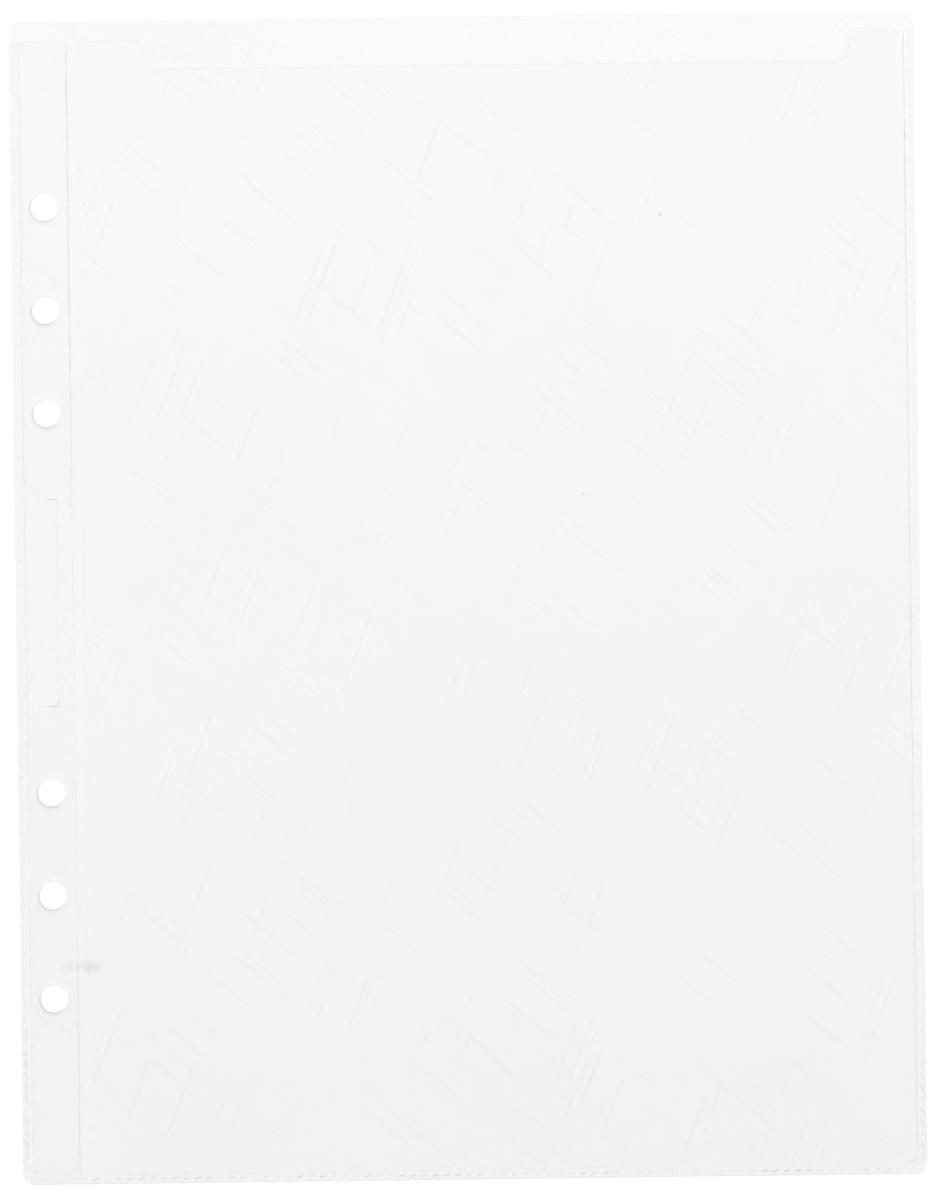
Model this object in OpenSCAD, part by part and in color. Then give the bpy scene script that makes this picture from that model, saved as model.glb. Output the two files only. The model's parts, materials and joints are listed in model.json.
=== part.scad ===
// Clear punched document envelope for a six-ring organiser, lying flat.
// Two films are welded together along the left, lower and right edges and along the spine.
// X runs across the page from the binding strip, Y runs up to the mouth, and Z = 0 is the underside.

/* [Sheet] */
// Width of the whole envelope
sheet_w = 166.7; // [150:0.1:240]
// Height of the whole envelope
sheet_h = 214.4; // [205:0.1:320]
// Radius of the outer corners
corner_r = 2; // [0.5:0.1:3]
// Thickness of one film
film_t = 0.2; // [0.12:0.01:0.5]
// Space between the two films of the empty pocket
pocket_gap = 0.2; // [0.1:0.01:1]

/* [Welds] */
// Width of the weld along the left, lower and right edges
edge_weld_w = 1.9; // [1.4:0.1:3]
// Width of the weld between the binding strip and the pocket
spine_weld_w = 2.1; // [1:0.1:5]
// Depth by which a weld is pressed below the front film
weld_sink = 0.15; // [0.05:0.01:0.25]
// Width of the shoulder left between a film and the pressed part of its weld
weld_shoulder = 0.3; // [0.1:0.05:0.4]
// Distance from one pressed stitch to the next
stitch_pitch = 2.1; // [1.8:0.1:5]
// Length of one pressed stitch
stitch_l = 1.5; // [0.6:0.1:1.7]
// Width of one pressed stitch
stitch_w = 0.45; // [0.2:0.05:0.6]
// Slant of a stitch against the run of the weld
stitch_slant = 20; // [0:1:40]
// Depth of one pressed stitch
stitch_depth = 0.12; // [0.02:0.01:0.2]

/* [Binding strip] */
// Width of the binding strip, from the left edge to the fold line
strip_w = 10.5; // [10:0.1:20]
// Diameter of a ring hole
hole_d = 5; // [3:0.1:6]
// Distance of the hole centres from the left edge
hole_inset = 6.1; // [5:0.1:7]
// Number of holes in the upper group, and in the lower group
group_holes = 3; // [1:1:4]
// Distance between neighbouring holes of a group
hole_pitch = 19; // [10:0.5:22]
// Distance between the two holes nearest the middle
group_gap = 70; // [50:1:85]
// Width of the bare label plate
label_w = 5.9; // [3:0.1:7]
// Height of the bare label plate
label_h = 38.5; // [20:0.5:60]
// Width of the rim around the pressed field of the label plate
label_rim = 0.4; // [0.2:0.05:1]
// Largest turn of the fold line to either side, in degrees
fold_turn = 90; // [30:5:120]
// Width that the two sides of the fold line stay apart
fold_clear = 0.1; // [0.02:0.01:0.3]

/* [Mouth] */
// Height by which the back film stands above the front film
back_rise = 3.7; // [2:0.1:8]
// Depth of the thumb notch in the front film
notch_depth = 5.3; // [4.2:0.1:8]
// Distance of the notch from the spine weld
notch_from_spine = 12.2; // [10:0.1:40]
// Distance of the notch from the right weld
notch_from_right = 10.1; // [9:0.1:40]
// Radius of the lower corners of the notch
notch_r = 2.5; // [0.5:0.1:3.5]
// Radius of the tabs beside the notch
tab_r = 1.5; // [0.5:0.1:2.5]
// Depth of the front film's lip, from the top edge of the sheet down to its crease
lip_depth = 30; // [20:1:60]
// Distance of the upper corners of the lip from the welds
lip_inset = 2; // [1:0.1:3]
// Width of the line that sets the lip off from its film
lip_clear = 0.06; // [0.02:0.01:0.2]

/* [Hidden] */
$fn = 64;

// Heights above the underside
front_z = film_t + pocket_gap;
weld_t = front_z + film_t;
fold_z = weld_t / 2;
pressed_z = weld_t - weld_sink;

// Lines across the sheet, from left to right
left_x = -sheet_w / 2;
strip_left_x = left_x + edge_weld_w;
hole_x = left_x + hole_inset;
fold_x = left_x + strip_w;
strip_right_x = fold_x - fold_clear / 2;
spine_left_x = fold_x + fold_clear / 2;
pocket_left_x = fold_x + spine_weld_w;
right_x = sheet_w / 2;
pocket_right_x = right_x - edge_weld_w;
notch_left_x = pocket_left_x + notch_from_spine;
notch_right_x = pocket_right_x - notch_from_right;

// Lines up the sheet, from the foot to the mouth
foot_y = -sheet_h / 2;
panel_foot_y = foot_y + edge_weld_w;
top_y = sheet_h / 2;
front_top_y = top_y - back_rise;
notch_floor_y = front_top_y - notch_depth;
crease_y = top_y - lip_depth;

// Grooves along the fold open a little wider than half its turn
fold_relief = 1;
groove_half_angle = fold_turn / 2 + fold_relief;
groove_half_w = weld_t * tan(groove_half_angle);

// Distance of a row of stitches from the outer edge: the middle of the pressed band
stitch_inset = (edge_weld_w - weld_shoulder) / 2;

// Length by which cutting shapes run past what they cut
over = 1;

film_colour = [0.93, 0.95, 0.94, 0.45];
weld_colour = [0.82, 0.85, 0.84, 0.75];

// Rectangle between two lines across and two lines up the sheet
module area(x0, y0, x1, y1) {
    translate([x0, y0]) square([x1 - x0, y1 - y0]);
}

// What a rounded corner takes off a square one, for the corner at the origin of the first quadrant
module corner_waste(r) {
    difference() {
        translate([-over, -over]) square(r + over);
        translate([r, r]) circle(r);
        translate([r, -over]) square(r + over);
        translate([-over, r]) square(r + over);
    }
}

// Outline of the whole sheet
module sheet_outline() {
    difference() {
        area(left_x, foot_y, right_x, top_y);
        for (side_x = [0, 1], side_y = [0, 1]) {
            mirror([side_x, 0]) mirror([0, side_y]) translate([left_x, foot_y]) corner_waste(corner_r);
        }
    }
}

// The part of the sheet between two lines across and two lines up it
module sheet_area(x0, y0, x1, y1) {
    intersection() {
        sheet_outline();
        area(x0, y0, x1, y1);
    }
}

// Film of the children's outline, lying at a height
module film_at(z) {
    translate([0, 0, z]) linear_extrude(film_t) children();
}

// Grooves above and below the fold axis, along the whole fold line
module fold_grooves() {
    for (side = [-1, 1]) {
        translate([fold_x, 0, fold_z]) rotate([90, 0, 0]) linear_extrude(sheet_h + 2 * over, center = true)
            polygon([[0, 0], [groove_half_w, side * weld_t], [-groove_half_w, side * weld_t]]);
    }
}

// Six ring holes in two groups, through both films
module ring_holes() {
    for (group = [-1, 1], i = [0 : group_holes - 1]) {
        translate([hole_x, group * (group_gap / 2 + i * hole_pitch), -over])
            cylinder(d = hole_d, h = weld_t + 2 * over);
    }
}

// Row of pressed stitches up +Y from the origin, evenly spread over a run of the weld
module stitch_row(run) {
    last = floor((run - stitch_l) / stitch_pitch);
    first_y = (run - last * stitch_pitch) / 2;
    for (i = [0 : last]) {
        translate([0, first_y + i * stitch_pitch, pressed_z - stitch_depth]) rotate(stitch_slant)
            translate([-stitch_w / 2, -stitch_l / 2, 0]) cube([stitch_w, stitch_l, stitch_depth + over]);
    }
}

// Row of stitches up an edge weld, at x
module upright_stitches(x) {
    translate([x, panel_foot_y, 0]) stitch_row(front_top_y - panel_foot_y);
}

// Row of stitches along the foot weld, between two lines across the sheet
module foot_stitches(x0, x1) {
    translate([x0, foot_y + stitch_inset, 0]) rotate(-90) stitch_row(x1 - x0);
}

// Space pressed out above the welds: a band around the edges and a channel along the spine
module pressed_space() {
    band_top_y = panel_foot_y - weld_shoulder;
    translate([0, 0, pressed_z]) linear_extrude(weld_sink + over) {
        area(left_x - over, foot_y - over, right_x + over, band_top_y);
        area(left_x - over, foot_y, strip_left_x - weld_shoulder, front_top_y + over);
        area(pocket_right_x + weld_shoulder, foot_y, right_x + over, front_top_y + over);
        area(spine_left_x + weld_shoulder, foot_y, pocket_left_x - weld_shoulder, front_top_y + over);
    }
}

// Label plate beside the left edge weld at half height, less a rim
module label_area(rim) {
    area(strip_left_x + rim, rim - label_h / 2, strip_left_x + label_w - rim, label_h / 2 - rim);
}

// Inside of the binding strip, between the welds
module strip_panel() {
    difference() {
        area(strip_left_x, panel_foot_y, strip_right_x, front_top_y);
        label_area(0);
    }
}

// Lip of the front film: its sides run in at 45 degrees down to the crease
module lip_area(grow) {
    reach_y = front_top_y + over;
    low_y = crease_y - grow;
    left_corner_x = pocket_left_x + lip_inset - grow;
    right_corner_x = pocket_right_x - lip_inset + grow;
    polygon([
        [left_corner_x - over, reach_y],
        [right_corner_x + over, reach_y],
        [right_corner_x - (front_top_y - low_y), low_y],
        [left_corner_x + (front_top_y - low_y), low_y]
    ]);
}

// Thumb notch with rounded lower corners, flaring out at the tabs' rounded corners
module notch_area() {
    difference() {
        area(notch_left_x, notch_floor_y, notch_right_x, front_top_y + over);
        translate([notch_left_x, notch_floor_y]) corner_waste(notch_r);
        translate([notch_right_x, notch_floor_y]) mirror([1, 0]) corner_waste(notch_r);
    }
    translate([notch_left_x, front_top_y]) rotate(180) corner_waste(tab_r);
    translate([notch_right_x, front_top_y]) mirror([1, 0]) rotate(180) corner_waste(tab_r);
}

// Back film of the binding strip, with the edge that stands above the front film
module strip_back_film() {
    color(film_colour) difference() {
        film_at(0) {
            strip_panel();
            sheet_area(left_x, front_top_y, strip_right_x, top_y);
        }
        ring_holes();
        fold_grooves();
    }
}

// Front film of the binding strip
module strip_front_film() {
    color(film_colour) difference() {
        film_at(front_z) strip_panel();
        ring_holes();
        fold_grooves();
    }
}

// Fused weld along the left edge
module left_edge_weld() {
    color(weld_colour) difference() {
        linear_extrude(weld_t) sheet_area(left_x, foot_y, strip_left_x, front_top_y);
        pressed_space();
        upright_stitches(left_x + stitch_inset);
    }
}

// Fused weld along the foot of the binding strip
module strip_foot_weld() {
    color(weld_colour) difference() {
        linear_extrude(weld_t) sheet_area(strip_left_x, foot_y, strip_right_x, panel_foot_y);
        pressed_space();
        foot_stitches(strip_left_x, strip_right_x - groove_half_w);
        fold_grooves();
    }
}

// Bare plate where the two strip films are fused flat
module label_plate() {
    color(weld_colour) difference() {
        linear_extrude(weld_t) label_area(0);
        translate([0, 0, pressed_z]) linear_extrude(weld_sink + over) label_area(label_rim);
    }
}

// Fused weld between the binding strip and the pocket, which the pocket turns at
module spine_weld() {
    color(weld_colour) difference() {
        linear_extrude(weld_t) area(spine_left_x, panel_foot_y, pocket_left_x, front_top_y);
        pressed_space();
        fold_grooves();
    }
}

// Back film of the pocket, with the edge that stands above the front film
module pocket_back_film() {
    color(film_colour) difference() {
        film_at(0) {
            area(pocket_left_x, panel_foot_y, pocket_right_x, front_top_y);
            sheet_area(spine_left_x, front_top_y, right_x, top_y);
        }
        fold_grooves();
    }
}

// Front film of the pocket around its lip
module pocket_front_film() {
    color(film_colour) film_at(front_z) difference() {
        area(pocket_left_x, panel_foot_y, pocket_right_x, front_top_y);
        lip_area(lip_clear / 2);
    }
}

// Fused weld along the foot of the pocket
module pocket_foot_weld() {
    color(weld_colour) difference() {
        linear_extrude(weld_t) sheet_area(spine_left_x, foot_y, pocket_right_x, panel_foot_y);
        pressed_space();
        foot_stitches(spine_left_x + groove_half_w, pocket_right_x);
        fold_grooves();
    }
}

// Fused weld along the right edge
module right_edge_weld() {
    color(weld_colour) difference() {
        linear_extrude(weld_t) sheet_area(pocket_right_x, foot_y, right_x, front_top_y);
        pressed_space();
        upright_stitches(right_x - stitch_inset);
    }
}

// Lip of the front film, which lifts at its crease, with the thumb notch
module front_lip_film() {
    color(film_colour) film_at(front_z) difference() {
        intersection() {
            lip_area(-lip_clear / 2);
            area(pocket_left_x, crease_y, pocket_right_x, front_top_y);
        }
        notch_area();
    }
}

strip_back_film();
strip_front_film();
left_edge_weld();
strip_foot_weld();
label_plate();
spine_weld();
pocket_back_film();
pocket_front_film();
pocket_foot_weld();
right_edge_weld();
front_lip_film();
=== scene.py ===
"""Looks of the clear punched document envelope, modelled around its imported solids.

Two clear films are fused by stitched welds along three edges and by a smooth weld at the spine, where the
pocket folds. The front film's lip lifts at the mouth, and a bare plate is pressed into the binding strip.
"""
import json
import logging
import math
from contextlib import contextmanager
from dataclasses import dataclass, field, replace
from enum import Enum
from typing import Any, Callable, Iterable, Iterator, NamedTuple

import bmesh
import bpy
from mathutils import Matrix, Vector, noise

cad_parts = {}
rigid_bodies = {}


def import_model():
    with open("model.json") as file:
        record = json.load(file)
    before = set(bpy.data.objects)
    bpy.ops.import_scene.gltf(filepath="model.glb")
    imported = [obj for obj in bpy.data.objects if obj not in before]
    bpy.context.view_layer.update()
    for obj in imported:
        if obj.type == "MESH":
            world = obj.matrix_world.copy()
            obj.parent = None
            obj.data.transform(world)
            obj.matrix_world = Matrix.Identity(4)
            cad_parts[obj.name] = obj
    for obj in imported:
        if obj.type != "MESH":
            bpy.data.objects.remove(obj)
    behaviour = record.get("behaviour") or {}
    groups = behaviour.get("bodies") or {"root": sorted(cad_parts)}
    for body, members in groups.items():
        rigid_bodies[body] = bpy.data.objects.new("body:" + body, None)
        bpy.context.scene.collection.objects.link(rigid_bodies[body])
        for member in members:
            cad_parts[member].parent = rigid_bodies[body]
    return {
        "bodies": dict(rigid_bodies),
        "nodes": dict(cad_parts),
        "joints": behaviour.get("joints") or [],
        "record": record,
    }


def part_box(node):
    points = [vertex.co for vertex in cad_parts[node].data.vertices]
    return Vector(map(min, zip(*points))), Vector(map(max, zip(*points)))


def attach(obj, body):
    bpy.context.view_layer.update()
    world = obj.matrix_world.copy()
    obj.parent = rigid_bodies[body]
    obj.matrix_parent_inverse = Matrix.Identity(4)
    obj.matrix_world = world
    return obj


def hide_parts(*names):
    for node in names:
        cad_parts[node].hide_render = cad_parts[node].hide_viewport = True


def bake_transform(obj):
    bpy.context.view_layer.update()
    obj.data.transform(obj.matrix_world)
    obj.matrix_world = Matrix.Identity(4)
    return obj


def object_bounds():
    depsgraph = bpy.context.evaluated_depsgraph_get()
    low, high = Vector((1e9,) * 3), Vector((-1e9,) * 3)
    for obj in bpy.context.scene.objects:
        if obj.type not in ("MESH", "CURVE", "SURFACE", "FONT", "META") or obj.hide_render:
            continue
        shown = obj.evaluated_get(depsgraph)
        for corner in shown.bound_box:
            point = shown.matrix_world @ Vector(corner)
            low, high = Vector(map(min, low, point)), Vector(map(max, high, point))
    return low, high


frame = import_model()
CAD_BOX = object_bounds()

log = logging.getLogger("document_envelope")

MM = 0.001
HAIR = 1e-6  # places closer than this are one place
SLIVER = 5 * HAIR  # faces thinner than this are dissolved
NEAR = 0.05 * MM  # reach of a test whether a side face lies on a line
FLAT = 0.7  # least height of the normal of an upper or lower face
UPRIGHT = 0.3  # greatest height of the normal of a side face
SIDE_SLOPE = 0.9  # slope from which a face counts as a cut edge
CUT_EDGE_SHADE = 2.5  # how much darker the painted shade of a cut edge is than that of a pressed wall
WELD_WALLS = (0.12, 0.32)  # slopes between which a face of a weld becomes a wall with painted shade
FILM_WALLS = (0.03, 0.12)  # the same for a film
HIGHLIGHT_SLOPES = (0.008, 0.035)  # slopes between which the painted highlight on the plastic grows
SMOOTH_ANGLE = math.radians(20.0)
BITE_WAVES = ((110.0, 0.4), (400.0, 0.5))  # waves to the metre along a pressed line, and their strength
MEAN_BITE = 0.9
LEAST_BITE = 0.3
PHOTO_SIZE = (935, 1200)
CLEAR_LAYERS = 48  # clear surfaces that a ray may pass
WELD_SINK = 0.02 * MM  # how far a weld is pressed below two films
WARM = (0.58, 0.585, 0.42)  # tint of the back film and of the welds
GREY_PATCH = (0.4 * MM, 40.1 * MM)  # soft grey patch beside the spine weld, right of it and above the foot


class Pick(Enum):
    """Kinds of mesh element that an operator acts on."""

    VERT = "verts"
    EDGE = "edges"
    FACE = "faces"


class Body(Enum):
    """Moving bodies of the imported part."""

    STRIP = "binding_strip"
    POCKET = "pocket"
    LIP = "front_lip"


class Slot(Enum):
    """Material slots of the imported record."""

    FILM = "clear_film"
    WELD = "fused_weld"


class LipPart(Enum):
    """The lip's middle, and the gussets that hold it to the pocket at both sides."""

    LEFT = "left"
    MIDDLE = "middle"
    RIGHT = "right"


class Step(NamedTuple):
    """One step of a pressed profile: how far across it goes, and how far up."""

    across: float
    rise: float


def smooth_step(low: float, high: float, value: float) -> float:
    """Ease from 0 for a value at low to 1 for a value at high."""
    share = min(max((value - low) / (high - low), 0.0), 1.0)
    return share * share * (3.0 - 2.0 * share)


def even_lines(marks: Iterable[float], step: float) -> list[float]:
    """Part the gaps between marks evenly, keeping the marks.

    Args:
        marks: Lines that have to be among the result.
        step: Widest gap that may be left.

    Returns:
        The lines in order.
    """
    ordered = sorted(set(marks))
    places = []
    for low, high in zip(ordered, ordered[1:]):
        count = max(1, math.ceil((high - low) / step - HAIR))
        places += [low + (high - low) * i / count for i in range(count)]
    return places + ordered[-1:]


def uneven(place: Vector) -> float:
    """How unevenly a press bites at a place, about 1 on average; it also varies the strength of the painted
    shade and highlight.
    """
    waves = sum(strength * noise.noise(place * scale) for scale, strength in BITE_WAVES)
    return max(LEAST_BITE, MEAN_BITE + waves)


@dataclass(frozen=True)
class InnerCorner:
    """A lower corner of a front film, where the pressed line runs round in an arc."""

    x: float
    y: float
    side: float
    radius: float
    line: float = 0.11 * MM

    def holds(self, place: Vector) -> bool:
        """Test whether a place lies in the square of the corner.

        Args:
            place: A point of the film.

        Returns:
            True inside the square and on its sides.
        """
        across = (place.x - self.x) * self.side
        up = place.y - self.y
        return -HAIR < across < self.radius + HAIR and -HAIR < up < self.radius + HAIR

    def arc(self, place: Vector) -> float:
        """Tell how near a place lies to the pressed arc.

        Args:
            place: A point of the film.

        Returns:
            1 on the arc, 0 beside it.
        """
        if not self.holds(place):
            return 0.0
        away = math.hypot(place.x - self.x - self.side * self.radius, place.y - self.y - self.radius)
        return max(0.0, 1.0 - abs(away - self.radius) / self.line)


@dataclass(frozen=True)
class SheetPlan:
    """Lines and levels of the envelope in metres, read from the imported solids."""

    left: float
    right: float
    foot: float
    top: float
    strip_left: float
    pocket_left: float
    pocket_right: float
    panel_foot: float
    front_top: float
    fold_x: float
    fold_z: float
    crease: float
    lip_left: float
    lip_right: float
    film: float
    front_z: float
    label: tuple[Vector, Vector]
    holes: tuple[Vector, ...]
    hole_r: float
    corner_r: float = 2.0 * MM
    strip_corner_r: float = 0.8 * MM
    pocket_corner_r: float = 2.0 * MM
    fold_half: float = 0.6 * MM
    # strength of the painted shade on cut rims: where the back film stands alone, and how evenly it falls
    back_rim: float = 0.5
    rim_even: float = 0.6

    @classmethod
    def from_frame(cls, packed: dict[str, Any]) -> "SheetPlan":
        """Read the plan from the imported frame.


        Returns:
            The plan of the envelope.
        """
        low, high = CAD_BOX
        joints = {joint["name"]: joint for joint in packed["joints"]}
        bores = [mount for mount in packed["record"]["mounts"] if mount["kind"] == "bore"]
        front_low, front_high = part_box("strip_front_film")
        lip_low, lip_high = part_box("front_lip_film")
        return cls(
            left=low.x,
            right=high.x,
            foot=low.y,
            top=high.y,
            strip_left=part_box("left_edge_weld")[1].x,
            pocket_left=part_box("spine_weld")[1].x,
            pocket_right=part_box("right_edge_weld")[0].x,
            panel_foot=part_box("pocket_foot_weld")[1].y,
            front_top=front_high.y,
            fold_x=joints["spine_fold"]["pos_m"][0],
            fold_z=joints["spine_fold"]["pos_m"][2],
            crease=joints["front_lip_lift"]["pos_m"][1],
            lip_left=lip_low.x,
            lip_right=lip_high.x,
            film=front_high.z - front_low.z,
            front_z=front_low.z,
            label=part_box("label_plate"),
            holes=tuple(Vector(mount["pos_m"]) for mount in bores),
            hole_r=bores[0]["dims"]["r_mm"] * MM,
        )

    @property
    def strip_right(self) -> float:
        """Line where the strip's films end and the bending weld begins."""
        return self.fold_x - self.fold_half

    @property
    def inner_corners(self) -> tuple[InnerCorner, ...]:
        """The rounded lower corners of the front films."""
        return (
            InnerCorner(self.strip_left, self.panel_foot, 1.0, self.strip_corner_r),
            InnerCorner(self.strip_right, self.panel_foot, -1.0, self.strip_corner_r),
            InnerCorner(self.pocket_right, self.panel_foot, -1.0, self.pocket_corner_r),
        )

    @property
    def lip_height(self) -> float:
        """Height of the front film's lip."""
        return self.front_top - self.crease

    @property
    def gusset_left(self) -> float:
        """Left end of the crease."""
        return self.lip_left + self.lip_height

    @property
    def gusset_right(self) -> float:
        """Right end of the crease."""
        return self.lip_right - self.lip_height

    def is_above_front(self, place: Vector) -> bool:
        """Whether a place lies where the back film stands alone above the front film."""
        return place.y > self.front_top + self.film

    def cut_bite(self, place: Vector) -> float:
        """How dark the painted shade on a cut rim is: fainter where the back film stands alone."""
        share = self.back_rim if self.is_above_front(place) else 1.0
        return share * (self.rim_even + (1.0 - self.rim_even) * uneven(place))

    def pocket_hold(self, place: Vector) -> float:
        """Distance of a place on the pocket from the nearest weld, 0 on a weld."""
        across = min(place.x - self.pocket_left, self.pocket_right - place.x)
        return max(min(across, place.y - self.panel_foot), 0.0)

    def strip_hold(self, place: Vector) -> float:
        """Distance of a place on the binding strip from the nearest weld or the label plate.

        Args:
            place: A point of a strip film.

        Returns:
            The distance in metres, 0 on a weld.
        """
        low, high = self.label
        across = min(place.x - self.strip_left, self.strip_right - place.x)
        beside = max(low.x - place.x, place.x - high.x, 0.0)
        above = max(low.y - place.y, place.y - high.y, 0.0)
        return max(min(across, place.y - self.panel_foot, math.hypot(beside, above)), 0.0)


class Bench:
    """The modelling moves that the pieces share, each done with operators as by hand."""

    @staticmethod
    def clear_selection() -> None:
        """Leave no object selected."""
        bpy.ops.object.select_all(action="DESELECT")

    @classmethod
    def focus(cls, piece: bpy.types.Object) -> None:
        """Make one piece the only selected object and the active one.

        Args:
            piece: The piece.
        """
        cls.clear_selection()
        piece.select_set(True)
        bpy.context.view_layer.objects.active = piece

    @classmethod
    @contextmanager
    def editing(cls, piece: bpy.types.Object) -> Iterator[None]:
        """Keep a piece in edit mode for a while.

        Args:
            piece: The mesh to edit.

        Returns:
            A context with the piece in edit mode.
        """
        cls.focus(piece)
        bpy.ops.object.mode_set(mode="EDIT")
        yield
        bpy.ops.object.mode_set(mode="OBJECT")

    @staticmethod
    def pick(piece: bpy.types.Object, kind: Pick, test: Callable[[Any], bool]) -> int:
        """Select the elements of a mesh in edit mode that pass a test, and no others.

        Args:
            piece: The mesh being edited.
            kind: Kind of element.
            test: True for an element to select.

        Returns:
            How many were selected.
        """
        bpy.ops.mesh.select_mode(type=kind.name)
        bpy.ops.mesh.select_all(action="DESELECT")
        mesh = bmesh.from_edit_mesh(piece.data)
        mesh.normal_update()
        found = [element for element in getattr(mesh, kind.value) if test(element)]
        for element in found:
            element.select_set(True)
        mesh.select_flush_mode()
        bmesh.update_edit_mesh(piece.data)
        return len(found)

    @classmethod
    def plane(
        cls, name: str, low: tuple[float, float], high: tuple[float, float], z: float
    ) -> bpy.types.Object:
        """Add a flat sheet between two corners.

        Args:
            name: Name of the piece.
            low: Its lower left corner.
            high: Its upper right corner.
            z: Its level.

        Returns:
            The new piece.
        """
        cls.clear_selection()
        middle = ((low[0] + high[0]) / 2, (low[1] + high[1]) / 2, z)
        bpy.ops.mesh.primitive_plane_add(size=1.0, location=middle)
        piece = bpy.context.active_object
        piece.name = name
        piece.data.name = name
        piece.scale = (high[0] - low[0], high[1] - low[1], 1.0)
        bpy.ops.object.transform_apply(location=True, rotation=True, scale=True)
        return piece

    @staticmethod
    def slice(point: tuple[float, float], normal: tuple[float, float], clear: bool = False) -> None:
        """Cut the mesh in edit mode along an upright plane, and take off what lies before it if asked."""
        bpy.ops.mesh.select_all(action="SELECT")
        bpy.ops.mesh.bisect(
            plane_co=(*point, 0.0), plane_no=(*normal, 0.0), clear_outer=clear, threshold=HAIR / 10
        )

    @classmethod
    def grid(cls, piece: bpy.types.Object, across: Iterable[float], up: Iterable[float]) -> None:
        """Cut a piece into cells, so that it can drape and bend.

        Args:
            piece: The piece to cut.
            across: Lines to cut at along X.
            up: Lines to cut at along Y.
        """
        corners = [Vector(corner) for corner in piece.bound_box]
        margin = 0.02 * MM
        with cls.editing(piece):
            for x in across:
                if corners[0].x + margin < x < corners[6].x - margin:
                    cls.slice((x, 0.0), (1.0, 0.0))
            for y in up:
                if corners[0].y + margin < y < corners[6].y - margin:
                    cls.slice((0.0, y), (0.0, 1.0))

    @classmethod
    def drop_faces(cls, piece: bpy.types.Object, test: Callable[[Vector], bool]) -> None:
        """Delete the faces whose middle passes a test.

        Args:
            piece: The piece that loses them.
            test: True for the middle of a face to delete.
        """
        with cls.editing(piece):
            cls.pick(piece, Pick.FACE, lambda face: test(face.calc_center_median()))
            bpy.ops.mesh.delete(type="FACE")

    @classmethod
    def modify(cls, piece: bpy.types.Object, kind: str, **settings: Any) -> None:
        """Add a modifier and apply it.

        Args:
            piece: The piece to modify.
            kind: The modifier's type.
            **settings: Its settings.
        """
        cls.focus(piece)
        modifier = piece.modifiers.new(kind.lower(), kind)
        for name, value in settings.items():
            setattr(modifier, name, value)
        bpy.ops.object.modifier_apply(modifier=modifier.name)

    @classmethod
    def thicken(cls, piece: bpy.types.Object, thickness: float) -> None:
        """Give a flat sheet its thickness, upwards."""
        cls.modify(piece, "SOLIDIFY", thickness=thickness, offset=1.0)

    @staticmethod
    def flatten(level: float) -> None:
        """Press what is selected in edit mode flat at a level."""
        bpy.ops.transform.resize(value=(1.0, 1.0, 0.0), center_override=(0.0, 0.0, level))

    @classmethod
    def join(cls, piece: bpy.types.Object, others: Iterable[bpy.types.Object]) -> None:
        """Join other pieces to a piece, which keeps its name.

        Args:
            piece: The piece that grows.
            others: The pieces that it takes in.
        """
        cls.focus(piece)
        for other in others:
            other.select_set(True)
        bpy.ops.object.join()

    @classmethod
    def carve(cls, piece: bpy.types.Object, cutter: bpy.types.Object) -> None:
        """Cut one piece out of another.

        Args:
            piece: The piece that is cut.
            cutter: The shape that is taken out.
        """
        cls.modify(piece, "BOOLEAN", operation="DIFFERENCE", solver="EXACT", object=cutter)
        with cls.editing(piece):
            bpy.ops.mesh.select_all(action="SELECT")
            bpy.ops.mesh.dissolve_degenerate(threshold=SLIVER)

    @classmethod
    def scrap(cls, piece: bpy.types.Object) -> None:
        """Take a cutter away."""
        cls.focus(piece)
        bpy.ops.object.delete()

    @classmethod
    def round_corner(cls, piece: bpy.types.Object, corner: tuple[float, float], radius: float) -> None:
        """Trim an outer corner of a flat sheet round, by cuts that touch the arc.

        Args:
            piece: The sheet.
            corner: The square corner to trim.
            radius: The corner's radius.
        """
        cuts = 7
        out_x = math.copysign(1.0, corner[0])
        out_y = math.copysign(1.0, corner[1])
        middle = (corner[0] - out_x * radius, corner[1] - out_y * radius)
        with cls.editing(piece):
            for i in range(1, cuts + 1):
                angle = math.radians(90.0) * i / (cuts + 1)
                way = (out_x * math.cos(angle), out_y * math.sin(angle))
                touch = (middle[0] + way[0] * radius, middle[1] + way[1] * radius)
                cls.slice(touch, way, clear=True)

    @classmethod
    def close_down(cls, piece: bpy.types.Object, level: float) -> None:
        """Extrude an open surface down to a flat underside.

        Args:
            piece: The surface, seen from above.
            level: Height of the underside.
        """
        with cls.editing(piece):
            bpy.ops.mesh.select_mode(type="FACE")
            bpy.ops.mesh.select_all(action="SELECT")
            bpy.ops.mesh.extrude_region_move(TRANSFORM_OT_translate={"value": (0.0, 0.0, -MM)})
            cls.flatten(level)
            bpy.ops.mesh.select_all(action="SELECT")
            bpy.ops.mesh.normals_make_consistent(inside=False)

    @classmethod
    def round_edges(cls, piece: bpy.types.Object, free: Callable[[Vector], bool], width: float) -> None:
        """Round the sharp rims of a film where it is free.

        Args:
            piece: The film.
            free: True for the middle of a side face that is free.
            width: Width of the rounding.
        """

        def is_rim(edge: Any) -> bool:
            """Test whether an edge is a sharp rim.

            Args:
                edge: An edge of the film.

            Returns:
                True between a flat face and a free side face.
            """
            if len(edge.link_faces) != 2:
                return False
            flat = [face for face in edge.link_faces if abs(face.normal.z) > FLAT]
            side = [face for face in edge.link_faces if abs(face.normal.z) < UPRIGHT]
            return len(flat) == 1 and len(side) == 1 and free(side[0].calc_center_median())

        with cls.editing(piece):
            if cls.pick(piece, Pick.EDGE, is_rim):
                bpy.ops.mesh.bevel(offset=width, segments=2, affect="EDGES", clamp_overlap=True)
                bpy.ops.mesh.select_all(action="SELECT")
                bpy.ops.mesh.dissolve_degenerate(threshold=SLIVER)

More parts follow.
